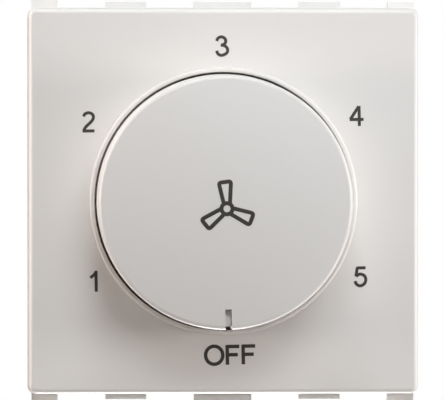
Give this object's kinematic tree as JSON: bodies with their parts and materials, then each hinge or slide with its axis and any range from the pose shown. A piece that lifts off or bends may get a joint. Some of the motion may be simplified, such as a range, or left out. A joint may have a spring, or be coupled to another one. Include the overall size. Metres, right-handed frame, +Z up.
{
  "type": "fan speed control switch",
  "caption": "Square modular fan speed control: a large round turning knob with a pointer notch and stepped speeds on a plate, clipped to a housing with a rotary switch and terminals.",
  "frame": {"origin": "on the knob's axis, in the plane where the flange's back meets the wall frame", "axes": "+X right and +Z up as the front is seen, +Y into the wall, so the knob faces -Y"},
  "size_m": [0.045, 0.0462, 0.0463],
  "materials": {
    "white_front": "moulded white polycarbonate, satin gloss",
    "white_housing": "moulded white polycarbonate, fine matt",
    "steel": "bright steel, turned or stamped",
    "dark_moulding": "moulded black polyamide",
    "natural_moulding": "moulded natural acetal",
    "brass": "stamped or drawn brass, satin",
    "bronze": "sprung phosphor bronze strip",
    "plated_screws": "zinc-plated steel",
    "board": "phenolic paper laminate",
    "capacitor_case": "moulded box of a film capacitor",
    "resistor_coat": "lacquered resistor"
  },
  "bodies": {
    "housing": {"front_plate": "white_front", "rear_housing": "white_housing", "detent_spring": "steel", "switch_base": "dark_moulding", "switch_cover": "dark_moulding", "common_contact": "brass", "speed_contact_1": "brass", "speed_contact_2": "brass", "speed_contact_3": "brass", "speed_contact_4": "brass", "speed_contact_5": "brass", "line_terminal": "brass", "load_terminal": "brass", "switch_rivets": "brass", "board_screws": "plated_screws", "circuit_board": "board", "run_capacitor": "capacitor_case", "start_capacitor": "capacitor_case", "surge_resistor_a": "resistor_coat", "surge_resistor_b": "resistor_coat", "bleed_resistor_a": "resistor_coat", "bleed_resistor_b": "resistor_coat"},
    "knob": {"knob": "white_front", "knob_grip_spring": "steel", "spindle": "steel", "spindle_clip": "steel", "detent_wheel": "natural_moulding", "contact_wiper": "bronze"},
    "line_screw": {"line_terminal_screw": "plated_screws"},
    "load_screw": {"load_terminal_screw": "plated_screws"}
  },
  "joints": [
    {"name": "knob_turn", "type": "hinge", "parent": "housing", "child": "knob", "pos_m": [0, 0, 0], "axis": [0, 1, 0], "range_deg": [0, 300], "deforming": ["detent_spring"]},
    {"name": "line_screw_travel", "type": "slide", "parent": "housing", "child": "line_screw", "axis": [0, -1, 0], "range_m": [0, 0.003]},
    {"name": "load_screw_travel", "type": "slide", "parent": "housing", "child": "load_screw", "axis": [0, -1, 0], "range_m": [0, 0.003]}
  ]
}
